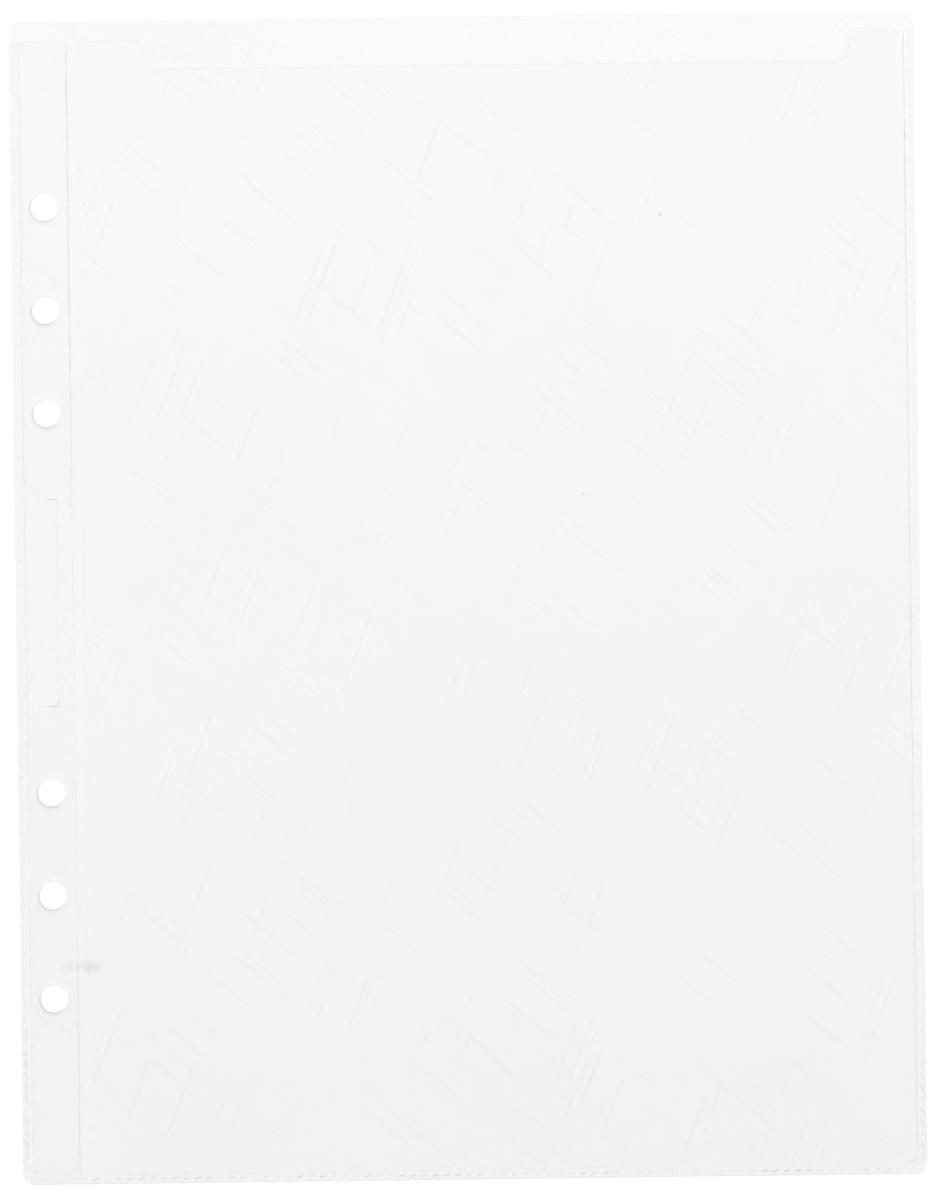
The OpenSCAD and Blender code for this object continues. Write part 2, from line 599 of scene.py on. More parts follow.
    @staticmethod
    def mark_relief(
        piece: bpy.types.Object,
        inner: Callable[[Vector], bool],
        walls: tuple[float, float],
        bite: Callable[[Vector], float] = uneven,
    ) -> None:
        """Write to the mesh where painted shade goes on the steep walls a press left and on cut edges, and
        where a painted highlight goes on slopes that it only stretched.

        Args:
            piece: The finished mesh at rest.
            inner: True for the middle of a side face where the plastic only goes on in the next piece.
            walls: Slopes at which a face starts to be a wall and is one altogether.
            bite: How strong the painted shade and highlight are at a place.
        """
        relief = piece.data.attributes.new("relief", "FLOAT", "FACE")
        blush = piece.data.attributes.new("blush", "FLOAT", "FACE")
        joint = piece.data.attributes.new("joint", "FLOAT", "FACE")
        for face, steep, gentle, meets in zip(piece.data.polygons, relief.data, blush.data, joint.data):
            slope = 1.0 - abs(face.normal.z)
            if slope > SIDE_SLOPE and inner(face.center):
                meets.value = 1.0
                continue
            wall = smooth_step(*walls, slope)
            steep.value = CUT_EDGE_SHADE if slope > SIDE_SLOPE else wall
            gentle.value = smooth_step(*HIGHLIGHT_SLOPES, slope) * (1.0 - wall)
        strength = piece.data.attributes.new("bite", "FLOAT", "POINT")
        for vertex, mark in zip(piece.data.vertices, strength.data):
            mark.value = bite(vertex.co)

    @classmethod
    def smooth(cls, piece: bpy.types.Object) -> None:
        """Shade a piece smooth, apart from its sharp edges."""
        cls.focus(piece)
        bpy.ops.object.shade_smooth_by_angle(angle=SMOOTH_ANGLE)


class Wire:
    """A socket of a node tree with arithmetic, which adds Math nodes."""

    def __init__(self, tree: bpy.types.NodeTree, socket: bpy.types.NodeSocket) -> None:
        """Wrap an output socket of a tree."""
        self.tree = tree
        self.socket = socket

    def math(self, operation: str, *values: Any) -> "Wire":
        """Add a Math node for numbers or wires."""
        return Wiring(self.tree).node("Math", {"operation": operation}, dict(enumerate(values)))

    def __add__(self, other: Any) -> "Wire":
        """Add."""
        return self.math("ADD", self, other)

    __radd__ = __add__

    def __sub__(self, other: Any) -> "Wire":
        """Subtract."""
        return self.math("SUBTRACT", self, other)

    def __rsub__(self, other: Any) -> "Wire":
        """Subtract from a number."""
        return self.math("SUBTRACT", other, self)

    def __mul__(self, other: Any) -> "Wire":
        """Multiply."""
        return self.math("MULTIPLY", self, other)

    __rmul__ = __mul__

    def __truediv__(self, other: Any) -> "Wire":
        """Divide."""
        return self.math("DIVIDE", self, other)

    def __rtruediv__(self, other: Any) -> "Wire":
        """Divide a number."""
        return self.math("DIVIDE", other, self)

    def __pow__(self, other: Any) -> "Wire":
        """Raise to a power."""
        return self.math("POWER", self, other)

    def ramp(self, low: float, high: float) -> "Wire":
        """Ease from 0 at low to 1 at high."""
        inputs = {"Value": self, "From Min": low, "From Max": high}
        return Wiring(self.tree).node("MapRange", {"interpolation_type": "SMOOTHSTEP"}, inputs)

    def sibling(self, output: str) -> "Wire":
        """Another output of the same node."""
        return Wire(self.tree, self.socket.node.outputs[output])


class Wiring:
    """Adds nodes to a tree."""

    def __init__(self, tree: bpy.types.NodeTree) -> None:
        """Hold the tree to add to."""
        self.tree = tree

    @classmethod
    def fresh(cls, owner: bpy.types.Material | bpy.types.World) -> "Wiring":
        """Empty the node tree of a material or a world for its own nodes.

        Args:
            owner: The material or world.

        Returns:
            The wiring of its tree.
        """
        owner.use_nodes = True
        owner.node_tree.nodes.clear()
        return cls(owner.node_tree)

    def node(
        self, kind: str, settings: dict[str, Any], inputs: dict[Any, Any], output: Any = 0
    ) -> Wire | None:
        """Add a node.

        Args:
            kind: The node's type without its ShaderNode prefix.
            settings: Its own settings, set first.
            inputs: Values or wires by socket name or number.
            output: Name or number of the wanted output.

        Returns:
            That output, or None for a node that has none.
        """
        made = self.tree.nodes.new("ShaderNode" + kind)
        for name, value in settings.items():
            setattr(made, name, value)
        for name, value in inputs.items():
            if isinstance(value, Wire):
                self.tree.links.new(value.socket, made.inputs[name])
            else:
                made.inputs[name].default_value = value
        return Wire(self.tree, made.outputs[output]) if made.outputs else None

    def mix_colour(self, share: Wire, first: Any, second: Any) -> Wire:
        """Mix a share of the second of two colours into the first."""
        return self.node("Mix", {"data_type": "RGBA"}, {0: share, 6: first, 7: second}, 2)

    def attribute(self, name: str) -> Wire:
        """Read a value that the modelling wrote to the mesh."""
        return self.node("Attribute", {"attribute_name": name}, {}, "Fac")


@dataclass(frozen=True)
class Blot:
    """A soft oval mark: its middle, its half width and half height, and its strength."""

    middle: tuple[float, float]
    reach: tuple[float, float]
    strength: float


GREY_PATCH_BLOTS = (
    Blot(middle=(0.0, 0.0), reach=(3.3 * MM, 2.1 * MM), strength=1.0),
    Blot(middle=(-3.9 * MM, 0.0), reach=(2.8 * MM, 1.9 * MM), strength=0.65),
    Blot(middle=(1.4 * MM, -0.6 * MM), reach=(3.2 * MM, 2.3 * MM), strength=0.3),
)
SPECK_REACH = (0.32 * MM, 0.34 * MM)
SPECKS = (
    Blot(middle=(36.3 * MM, 70.2 * MM), reach=SPECK_REACH, strength=4.5),
    Blot(middle=(21.5 * MM, 18.9 * MM), reach=SPECK_REACH, strength=5.0),
    Blot(middle=(8.0 * MM, -94.6 * MM), reach=SPECK_REACH, strength=1.5),
)


@dataclass(frozen=True)
class ClearFinish:
    """Clear soft film: a faint haze, and a gloss that grows towards a flat look along it, with painted
    shade on its steep walls, cut edges and hole rims and a painted highlight on gentle slopes.
    """

    name: str
    haze: float = 0.035
    tint: tuple[float, float, float] = (0.78, 0.78, 0.70)
    # painted shade on steep walls and cut edges, and a painted highlight on gentle slopes
    rim_alpha: float = 0.17
    rim_colour: tuple[float, float, float] = (0.26, 0.26, 0.24)
    blush_alpha: float = 0.22
    blush_colour: tuple[float, float, float] = (0.98, 0.98, 0.97)
    mirror: float = 0.03
    grazing: float = 5.0
    ior: float = 1.5
    gloss_roughness: float = 0.16
    drift_scale: float = 22.0
    grain_scale: float = 1400.0
    haze_parts: tuple[float, float, float] = (0.72, 0.40, 0.16)
    roughness_parts: tuple[float, float] = (0.10, 0.06)
    bump_strength: float = 0.25
    bump_height: float = 0.05 * MM
    # painted shade round the ring holes
    roll_alpha: float = 0.042
    roll_dark: float = 0.3
    # a soft grey patch and dust specks
    dirt_alpha: float = 0.052
    dirt_dark: float = 0.25
    smudge: tuple[float, float] | None = None
    smudge_fade: float = 1.5
    specks: tuple[Blot, ...] = ()
    scuff_alpha: float = 0.008
    scuff_runs: tuple[tuple[float, float], ...] = ((1.2, 30.0 * MM), (-0.7, 22.0 * MM))
    scuff_width: float = 0.5 * MM
    scuff_ramp: tuple[float, float] = (0.68, 0.80)

    def build(self) -> bpy.types.Material:
        """Make the material.

        Returns:
            The new material.
        """
        material = bpy.data.materials.new(self.name)
        wires = Wiring.fresh(material)
        place = wires.node("TexCoord", {}, {}, "Object")
        bite = wires.attribute("bite")
        relief = wires.attribute("relief") * bite
        blush = wires.attribute("blush") * bite.math("MINIMUM", bite, 1.0)
        rolled = wires.attribute("rolled")
        seen = 1.0 - wires.attribute("joint")
        drift = wires.node("TexNoise", {}, {"Vector": place, "Scale": self.drift_scale, "Detail": 1.0})
        grain = wires.node("TexNoise", {}, {"Vector": place, "Scale": self.grain_scale, "Detail": 0.0})
        patch_and_specks = self.marks(wires, place)

        even, slow, fine = self.haze_parts
        alpha = self.haze * (even + slow * drift + fine * grain)
        alpha = alpha + self.hairlines(wires, place) * self.scuff_alpha
        # painted shade on walls and cut edges, painted highlight on gentle slopes, painted shade round the
        # holes
        alpha = alpha + relief * self.rim_alpha + blush * self.blush_alpha + rolled * self.roll_alpha
        dark = relief.math("MAXIMUM", relief, rolled.ramp(0.0, self.roll_dark))
        if patch_and_specks is not None:
            alpha = alpha + patch_and_specks * self.dirt_alpha
            dark = dark.math("MAXIMUM", dark, patch_and_specks.ramp(0.0, self.dirt_dark))
        # pale painted highlight mixed into the tint
        colour = wires.mix_colour(blush, (*self.tint, 1.0), (*self.blush_colour, 1.0))
        # dark painted shade, the grey patch and dust specks share one dark colour
        colour = wires.mix_colour(dark, colour, (*self.rim_colour, 1.0))
        slow, fine = self.roughness_parts
        roughness = self.gloss_roughness + slow * (drift - 0.5) + fine * (grain - 0.5)
        heights = {"Strength": self.bump_strength, "Distance": self.bump_height, "Height": drift}
        skin = {"Roughness": roughness, "Normal": wires.node("Bump", {}, heights)}
        body = {"Base Color": colour, "Alpha": alpha * seen, "IOR": self.ior}
        haze = wires.node("BsdfPrincipled", {}, body | skin)
        gloss = wires.node("BsdfAnisotropic", {}, {"Color": (1.0, 1.0, 1.0, 1.0)} | skin)
        facing = wires.node("LayerWeight", {}, {"Blend": 0.5, "Normal": skin["Normal"]}, "Facing")
        mirrored = self.mirror + (1.0 - self.mirror) * facing**self.grazing
        surface = wires.node("MixShader", {}, {0: mirrored * seen, 1: haze, 2: gloss})
        wires.node("OutputMaterial", {}, {"Surface": surface})
        return material

    def marks(self, wires: Wiring, place: Wire) -> Wire | None:
        """Faint grey patch and dust specks of this film.

        Args:
            wires: The material's tree.
            place: Object coordinates.

        Returns:
            A mask, or None where the film is clean.
        """
        found = []
        if self.smudge is not None:
            x, y = self.smudge
            for blot in GREY_PATCH_BLOTS:
                spot = self.spot(wires, place, (x + blot.middle[0], y + blot.middle[1]), blot.reach)
                found.append(spot**self.smudge_fade * blot.strength)
        for speck in self.specks:
            found.append(self.spot(wires, place, speck.middle, speck.reach) * speck.strength)
        return sum(found[1:], found[0]) if found else None

    @staticmethod
    def spot(wires: Wiring, place: Wire, middle: tuple[float, float], reach: tuple[float, float]) -> Wire:
        """A soft oval mark.

        Args:
            wires: The material's tree.
            place: Object coordinates.
            middle: The mark's middle.
            reach: Its half width and half height.

        Returns:
            A mask that is 1 in the middle and 0 at the rim.
        """
        split = wires.node("SeparateXYZ", {}, {"Vector": place}, "X")
        across = (split - middle[0]) / reach[0]
        above = (split.sibling("Y") - middle[1]) / reach[1]
        away = (across * across + above * above) ** 0.5
        return 1.0 - away.ramp(0.0, 1.0)

    def hairlines(self, wires: Wiring, place: Wire) -> Wire:
        """Fine scuffs that sliding in and out of rings and sleeves leaves.

        Args:
            wires: The material's tree.
            place: Object coordinates.

        Returns:
            A mask of sparse hairlines.
        """
        masks = []
        for turn, length in self.scuff_runs:
            size = (length, self.scuff_width, 1.0)
            sizes = {"Vector": place, "Rotation": (0.0, 0.0, turn), "Scale": size}
            turned = wires.node("Mapping", {"vector_type": "TEXTURE"}, sizes)
            streaks = wires.node("TexNoise", {}, {"Vector": turned, "Scale": 1.0, "Detail": 0.0})
            masks.append(streaks.ramp(*self.scuff_ramp))
        return masks[0] + masks[1]


def dress(piece: bpy.types.Object, material: bpy.types.Material, slot: Slot, nodes: Iterable[str]) -> None:
    """Give a finished piece its finish and hide the solids it stands for.

    Args:
        piece: The piece.
        material: Its finish.
        slot: The record's material slot; not used.
        nodes: The CAD nodes that it replaces.
    """
    piece.data.materials.clear()
    piece.data.materials.append(material)
    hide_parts(*nodes)
    log.info("%s: %d faces", piece.name, len(piece.data.polygons))


@dataclass(frozen=True)
class Drape:
    """How films ease down to the welds and ripple between them."""

    plan: SheetPlan
    pinch_reach: float = 5.0 * MM
    ripple_reach: float = 28.0 * MM
    ripple: float = 0.40 * MM
    ripple_scale: float = 0.075
    touch: float = 0.01 * MM
    corner_cuts: int = 15
    arc_rise: float = 0.06 * MM

    def cut_corners(self, piece: bpy.types.Object) -> None:
        """Cut the lower corners of a flat front film fine enough for the arcs of the pressed line.

        Args:
            piece: The film, already cut into cells.
        """
        corners = self.plan.inner_corners
        with Bench.editing(piece):
            Bench.pick(
                piece,
                Pick.FACE,
                lambda face: any(corner.holds(face.calc_center_median()) for corner in corners),
            )
            bpy.ops.mesh.subdivide(number_cuts=self.corner_cuts)

    def lay(self, piece: bpy.types.Object, hold: Callable[[Vector], float], is_front: bool) -> None:
        """Drape one film.

        Args:
            piece: The film, flat and cut into cells.
            hold: Distance of a point from the nearest weld.
            is_front: Whether it is the front film, which is pressed down at the welds.
        """
        if is_front:
            drop = self.plan.front_z - self.plan.film - self.touch
            self.lift(piece, lambda co: 1.0 - smooth_step(0.0, self.pinch_reach, hold(co)), -drop)
            corners = self.plan.inner_corners
            self.lift(piece, lambda co: max(corner.arc(co) for corner in corners), self.arc_rise)
        self.weigh(piece, "slack", lambda co: smooth_step(0.0, self.ripple_reach, hold(co)))
        Bench.modify(
            piece,
            "DISPLACE",
            direction="Z",
            mid_level=0.0,
            strength=self.ripple,
            vertex_group="slack",
            texture=self.ripples(),
            texture_coords="LOCAL",
        )
        piece.vertex_groups.clear()

    @classmethod
    def lift(cls, piece: bpy.types.Object, weight: Callable[[Vector], float], rise: float) -> None:
        """Raise a film where it is pressed or punched.

        Args:
            piece: The film.
            weight: Share of the rise at a point.
            rise: The full rise, negative to press it down.
        """
        cls.weigh(piece, "lift", weight)
        Bench.modify(
            piece, "DISPLACE", direction="Z", mid_level=0.0, strength=rise, vertex_group="lift"
        )
        piece.vertex_groups.clear()

    @staticmethod
    def weigh(piece: bpy.types.Object, name: str, weight: Callable[[Vector], float]) -> None:
        """Write a weight to each vertex of a piece.

        Args:
            piece: The piece.
            name: Name of the vertex group.
            weight: Weight at a point.
        """
        group = piece.vertex_groups.new(name=name)
        for vertex in piece.data.vertices:
            group.add([vertex.index], weight(vertex.co), "REPLACE")

    def ripples(self) -> bpy.types.Texture:
        """The slow ripples that both films share.

        Returns:
            A cloud texture.
        """
        name = "film_ripples"
        texture = bpy.data.textures.get(name)
        if texture is None:
            texture = bpy.data.textures.new(name, "CLOUDS")
            texture.noise_scale = self.ripple_scale
            texture.noise_depth = 0
        return texture


@dataclass(frozen=True)
class EdgePress:
    """How hard the press bit along one edge of the sheet, and how strong the painted shade on its stitches
    and crease line is.
    """

    stitches: float
    # strength of the painted shade on the crease line only
    crease: float
    has_corner: bool


@dataclass(frozen=True)
class StitchedWeld:
    """A run of weld with pressed slanted stitches, and a crease line beside the films."""

    plan: SheetPlan
    width: float
    top: float
    pitch: float = 2.1 * MM
    stitch_length: float = 1.45 * MM
    stitch_width: float = 0.44 * MM
    slant: float = math.radians(20.0)
    sag: float = 0.09 * MM
    sag_depth: float = 0.018 * MM
    wall: float = 0.12 * MM
    depth: float = 0.12 * MM
    lean: float = 0.03 * MM
    margin: float = 0.20 * MM
    edge: float = 0.09 * MM
    edge_fall: float = 0.05 * MM
    bead: float = 0.13 * MM
    bead_rise: float = 0.045 * MM
    crease: float = 0.075 * MM
    crease_depth: float = 0.10 * MM
    crease_start: float = 0.4 * MM
    lap: float = 0.05 * MM
    # stitches pressed shallower, and their painted shade fainter, towards the mouth
    fade: float = 0.72
    fade_from: float = 4.0 * MM
    fade_to: float = 65.0 * MM
    corner_fade: tuple[float, float] = (0.6, 1.4)

    @property
    def band_end(self) -> float:
        """Line where the stitched band ends and the bead begins."""
        return self.width - self.lap - 2 * self.crease - 2 * self.bead

    def run(self, name: str, length: float, lean: float) -> bpy.types.Object:
        """Model one stitch with its share of the weld and repeat it along X from the origin.

        Args:
            name: Name of the piece.
            length: Length of the run.
            lean: 1 for stitches that are steep on the inner side, -1 for the outer side.

        Returns:
            The open top surface of the run, with its outer edge on Y = 0.
        """
        count = round(length / self.pitch)
        pitch = length / count
        low = self.margin
        high = self.band_end
        middle = Vector((pitch / 2, (low + high) / 2, 0.0))
        piece = Bench.plane(name, (0.0, low), (pitch, high), 0.0)
        self.add_outline(piece, middle)
        around = Vector((self.stitch_length, self.stitch_width)).length / 2 + HAIR
        with Bench.editing(piece):
            bpy.ops.mesh.select_all(action="SELECT")
            bpy.ops.mesh.delete(type="ONLY_FACE")
            bpy.ops.mesh.select_all(action="SELECT")
            bpy.ops.mesh.bridge_edge_loops()
            Bench.pick(
                piece, Pick.EDGE, lambda edge: all((v.co - middle).length < around for v in edge.verts)
            )
            bpy.ops.mesh.edge_face_add()
            bpy.ops.mesh.select_all(action="SELECT")
            bpy.ops.mesh.normals_make_consistent(inside=False)
            Bench.pick(piece, Pick.FACE, lambda face: (face.calc_center_median() - middle).length < NEAR)
            bpy.ops.mesh.inset(thickness=self.sag, depth=-self.sag_depth)
            bpy.ops.mesh.inset(thickness=self.wall, depth=-self.depth)
            bpy.ops.transform.translate(value=(0.0, lean * self.lean, 0.0))
            self.extrude_side(piece, low, (Step(self.edge - low, 0.0), Step(-self.edge, -self.edge_fall)))
            bead = (Step(self.bead, self.bead_rise), Step(self.bead, -self.bead_rise))
            crease = (Step(self.crease, -self.crease_depth), Step(self.crease, self.crease_depth))
            self.extrude_side(piece, high, (*bead, *crease, Step(self.lap, 0.0)))
        Bench.modify(
            piece,
            "ARRAY",
            count=count,
            use_relative_offset=False,
            use_constant_offset=True,
            constant_offset_displace=(pitch, 0.0, 0.0),
            use_merge_vertices=True,
            merge_threshold=HAIR,
        )
        return piece

    def add_outline(self, piece: bpy.types.Object, middle: Vector) -> None:
        """Join the slanted outline of a stitch to its share of the weld.

        Args:
            piece: The stitch's share of the weld.
            middle: Middle of the stitch.
        """
        Bench.clear_selection()
        bpy.ops.mesh.primitive_plane_add(size=1.0, location=middle, rotation=(0.0, 0.0, self.slant))
        outline = bpy.context.active_object
        outline.scale = (self.stitch_length, self.stitch_width, 1.0)
        bpy.ops.object.transform_apply(location=True, rotation=True, scale=True)
        Bench.join(piece, [outline])

    @staticmethod
    def extrude_side(piece: bpy.types.Object, line: float, steps: Iterable[Step]) -> None:
        """Carry the weld on from one of its long sides.

        Args:
            piece: The weld in edit mode.
            line: Y of the side.
            steps: The steps in Y and Z, one for each extrusion.
        """
        Bench.pick(
            piece, Pick.EDGE, lambda edge: all(abs(v.co.y - line) < HAIR for v in edge.verts)
        )
        for step in steps:
            move = {"value": (0.0, step.across, step.rise)}
            bpy.ops.mesh.extrude_region_move(TRANSFORM_OT_translate=move)

    def place(self, piece: bpy.types.Object, corner: tuple[float, float], turn: float) -> None:
        """Move a run from the origin to its place on the sheet.

        Args:
            piece: The run.
            corner: Where its start goes.
            turn: Its turn about Z in degrees.
        """
        Bench.focus(piece)
        piece.rotation_euler.z = math.radians(turn)
        piece.location = (*corner, self.top)
        bpy.ops.object.transform_apply(location=True, rotation=True, scale=True)

    def fill_crease(self, piece: bpy.types.Object, inner_x: float, radius: float) -> None:
        """Press the bead and the crease line flat where an upright run passes a corner of the sheet.

        Args:
            piece: The run in its place.
            inner_x: The inner side of the run.
            radius: Radius of the film's corner beside it.
        """
        reach = self.width - self.band_end + HAIR
        end = self.plan.panel_foot + radius
        with Bench.editing(piece):
            Bench.slice((0.0, end + self.crease_start), (0.0, 1.0))
            Bench.slice((0.0, end), (0.0, 1.0))
            Bench.pick(
                piece, Pick.VERT, lambda v: v.co.y < end + HAIR and abs(v.co.x - inner_x) < reach
            )
            Bench.flatten(self.top)

    def fill_foot_crease(self, piece: bpy.types.Object) -> None:
        """Press the bead and the crease line of the foot run flat at the round corners and below the spine.

        Args:
            piece: The run in its place.
        """
        plan = self.plan
        ease = self.crease_start
        inner_y = plan.foot + self.band_end - HAIR
        gaps = (
            (plan.strip_left, plan.strip_left + plan.strip_corner_r),
            (plan.strip_right - plan.strip_corner_r, plan.pocket_left),
            (plan.pocket_right - plan.pocket_corner_r, plan.pocket_right),
        )
        ends = [x for low, high in gaps for x in (low - ease, low, high, high + ease)]
        Bench.grid(piece, ends, [])
        with Bench.editing(piece):
            Bench.pick(
                piece,
                Pick.VERT,
                lambda v: v.co.y > inner_y and any(low - HAIR < v.co.x < high + HAIR for low, high in gaps),
            )
            Bench.flatten(self.top)

    def bite(self, place: Vector, across: float, edge: EdgePress) -> float:
        """How strong the painted shade and highlight are at a place on the weld: on the stitches, as deep
        as they were pressed.

        Args:
            place: A place on the weld.
            across: Its distance from the outer edge.
            edge: The edge that it lies on.

        Returns:
            The strength, about 1 where the painted shade is full.
        """
        if across > self.band_end:
            return edge.crease * uneven(place)
        return self.press(place, edge)

    def press(self, place: Vector, edge: EdgePress) -> float:
        """How far a stitch was pressed in: most at the foot, little at the mouth and in a corner.

        Args:
            place: A place on the weld.
            edge: The edge that it lies on.

        Returns:
            Its share of the full depth, a little over 1 at most.
        """
        up = place.y - self.plan.foot
        # the same share sets the strength of the stitches' painted shade, darker towards the foot
        share = edge.stitches * (1.0 - self.fade * smooth_step(self.fade_from, self.fade_to, up))
        if edge.has_corner:
            share *= smooth_step(*self.corner_fade, up / self.width)
        return share * uneven(place)

    def press_stitches(
        self, piece: bpy.types.Object, across: Callable[[Vector], float], edge: EdgePress
    ) -> None:
        """Press the stitches of a run in its place to their uneven depths.

        Args:
            piece: The run, with all its stitches at full depth.
            across: Distance of a place from the outer edge.
            edge: The edge that it lies on.
        """
        full = self.sag_depth + self.depth

        def filled(place: Vector) -> float:
            """Tell how far a stitch has to come up at a place.

            Args:
                place: A place on the run.

            Returns:
                The share of the full depth.
            """
            if not self.margin < across(place) < self.band_end:
                return 0.0
            return max(0.0, 1.0 - self.press(place, edge)) * (self.top - place.z) / full

        Drape.lift(piece, filled, full)

    def finish(
        self,
        piece: bpy.types.Object,
        inner: Callable[[Vector], bool],
        across: Callable[[Vector], float],
        edge: EdgePress,
    ) -> None:
        """Press a run's stitches and give it its thickness.

        Args:
            piece: The run in its place.
            inner: True for a side face that meets a film or another weld.
            across: Distance of a place from the outer edge.
            edge: The edge that it lies on.
        """
        self.press_stitches(piece, across, edge)
        with Bench.editing(piece):
            bpy.ops.mesh.select_all(action="SELECT")
            bpy.ops.mesh.normals_make_consistent(inside=False)
        Bench.close_down(piece, 0.0)
        Bench.mark_relief(piece, inner, WELD_WALLS, lambda c: self.bite(c, across(c), edge))
        Bench.smooth(piece)

    def upright(self, name: str, is_left: bool, edge: EdgePress) -> bpy.types.Object:
        """Model the weld along one upright edge of the sheet.

        Args:
            name: Name of the piece.
            is_left: Whether it is the left edge.
            edge: How hard the press bit there.

        Returns:
            The finished mesh.
        """
        plan = self.plan
        outer = plan.left if is_left else plan.right
        inner = plan.strip_left if is_left else plan.pocket_right
        piece = self.run(name, plan.front_top - plan.foot, 1.0 if is_left else -1.0)
        start = (outer, plan.front_top if is_left else plan.foot)
        self.place(piece, start, -90.0 if is_left else 90.0)
        Bench.round_corner(piece, (outer, plan.foot), plan.corner_r)
        self.fill_crease(piece, inner, plan.strip_corner_r if is_left else plan.pocket_corner_r)
        reach = abs(inner - outer) - NEAR
        self.finish(
            piece,
            lambda c: abs(c.x - outer) > reach or c.y > plan.front_top - NEAR,
            lambda c: abs(c.x - outer),
            edge,
        )
        return piece


@dataclass
class BindingStrip:
    """The punched strip: two films, the left edge weld and the bare label plate."""

    plan: SheetPlan
    drape: Drape
    weld: StitchedWeld
    film_finish: bpy.types.Material
    front_finish: bpy.types.Material
    weld_finish: bpy.types.Material
    cell: tuple[float, float] = (1.4 * MM, 3.0 * MM)
    ease: tuple[float, float] = (0.8 * MM, 1.0 * MM)
    rim: float = 0.06 * MM
    pin_sides: int = 56
    pin_length: float = 4.0 * MM
    pin_head: float = 1.0 * MM
    punch_roll: float = 0.11 * MM
    punched_reach: float = 2.2 * MM
    punched_cuts: int = 5
    burr: float = 0.07 * MM
    burr_reach: float = 1.0 * MM
    # painted shade round the ring holes, darkest at their lower left
    roll_reach: float = 0.6 * MM
    roll_side: tuple[float, float] = (-0.6, -0.8)
    roll_start: float = -0.2
    roll_least: float = 0.12
    wall_reach: float = 0.1 * MM
    left_press: EdgePress = EdgePress(stitches=1.0, crease=0.42, has_corner=True)
    border_cell: float = 2.0 * MM
    # where and how strongly shade is painted along the plate's border
    border_end: float = 0.5 * MM
    border_bites: tuple[float, float] = (1.3, 0.38)
    border_steps: tuple[Step, ...] = (
        Step(across=0.08 * MM, rise=0.0),
        Step(across=0.06 * MM, rise=-0.07 * MM),
        Step(across=0.06 * MM, rise=0.07 * MM),
        Step(across=0.14 * MM, rise=0.03 * MM),
        Step(across=0.30 * MM, rise=-0.03 * MM),
    )
    border_open: float = 0.3 * MM

    def build(self) -> None:
        """Model and dress the strip."""
        self.film("binding_back_film", False)
        self.film("binding_front_film", True)
        self.edge_weld()
        self.label_plate()

    def punch(self, top: float) -> bpy.types.Object:
        """Make the punch for the ring holes of one film, which rolls their upper rims.

        Args:
            top: Upper face of the film.

        Returns:
            Six flared pins in one mesh.
        """
        radius = self.plan.hole_r
        roll = self.punch_roll
        foot = top - roll
        bend = math.sin(math.radians(45.0))
        rings = (
            (radius + roll * (1.0 - bend), foot + roll * bend),
            (radius + roll, top),
            (radius + roll, top + self.pin_head),
        )
        pins = []
        for hole in self.plan.holes:
            bpy.ops.mesh.primitive_cylinder_add(
                vertices=self.pin_sides,
                radius=radius,
                depth=self.pin_length,
                location=(hole.x, hole.y, foot - self.pin_length / 2),
            )
            pin = bpy.context.active_object
            bpy.ops.object.transform_apply(location=True, rotation=True, scale=True)
            pins.append(pin)
            with Bench.editing(pin):
                Bench.pick(pin, Pick.FACE, lambda face: face.normal.z > FLAT)
                wide, high = radius, foot
                for ring, level in rings:
                    move = {"value": (0.0, 0.0, level - high)}
                    bpy.ops.mesh.extrude_region_move(TRANSFORM_OT_translate=move)
                    spread = (ring / wide, ring / wide, 1.0)
                    bpy.ops.transform.resize(value=spread, center_override=(hole.x, hole.y, level))
                    wide, high = ring, level
        Bench.join(pins[0], pins[1:])
        return pins[0]

    def film(self, name: str, is_front: bool) -> None:
        """Model one film of the strip.

        Args:
            name: Name of the piece.
            is_front: Whether it is the front film.
        """
        plan = self.plan
        low, high = plan.label
        left = plan.strip_left if is_front else plan.left
        top = plan.front_top if is_front else plan.top
        level = plan.front_z if is_front else 0.0
        piece = Bench.plane(name, (left, plan.panel_foot), (plan.strip_right, top), level)
        if not is_front:
            Bench.round_corner(piece, (plan.left, plan.top), plan.corner_r)
        ease_x, ease_y = self.ease
        marks = [plan.strip_left, plan.strip_left + ease_x, high.x]
        marks += [plan.strip_right - ease_x, plan.strip_right]
        rows = [plan.panel_foot, plan.panel_foot + ease_y, low.y, high.y, plan.front_top, plan.top]
        Bench.grid(piece, even_lines(marks, self.cell[0]), even_lines(rows, self.cell[1]))
        Bench.drop_faces(
            piece,
            lambda c: (c.x < plan.strip_left and c.y < plan.front_top)
            or (c.x < high.x and low.y < c.y < high.y),
        )
        with Bench.editing(piece):
            Bench.pick(
                piece,
                Pick.FACE,
                lambda face: self.from_hole(face.calc_center_median()) < self.punched_reach,
            )
            bpy.ops.mesh.subdivide(number_cuts=self.punched_cuts)
        if is_front:
            self.drape.cut_corners(piece)
        Bench.thicken(piece, plan.film)
        punch = self.punch(level + plan.film)
        Bench.carve(piece, punch)
        Bench.scrap(punch)
        Bench.round_edges(piece, self.is_top_edge, self.rim)
        self.drape.lay(piece, plan.strip_hold, is_front)
        # painted shade on steep walls and cut rims, painted highlight on gentle slopes, then painted shade
        # round the holes
        Bench.mark_relief(piece, lambda c: not self.is_free(c), FILM_WALLS, self.rim_bite)
        self.mark_roll(piece)
        self.drape.lift(
            piece, lambda co: 1.0 - smooth_step(0.0, self.burr_reach, self.from_hole(co)), self.burr
        )
        Bench.smooth(piece)
        dress(
            piece,
            self.front_finish if is_front else self.film_finish,
            Slot.FILM,
            ["strip_front_film" if is_front else "strip_back_film"],
        )
        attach(piece, Body.STRIP.value)

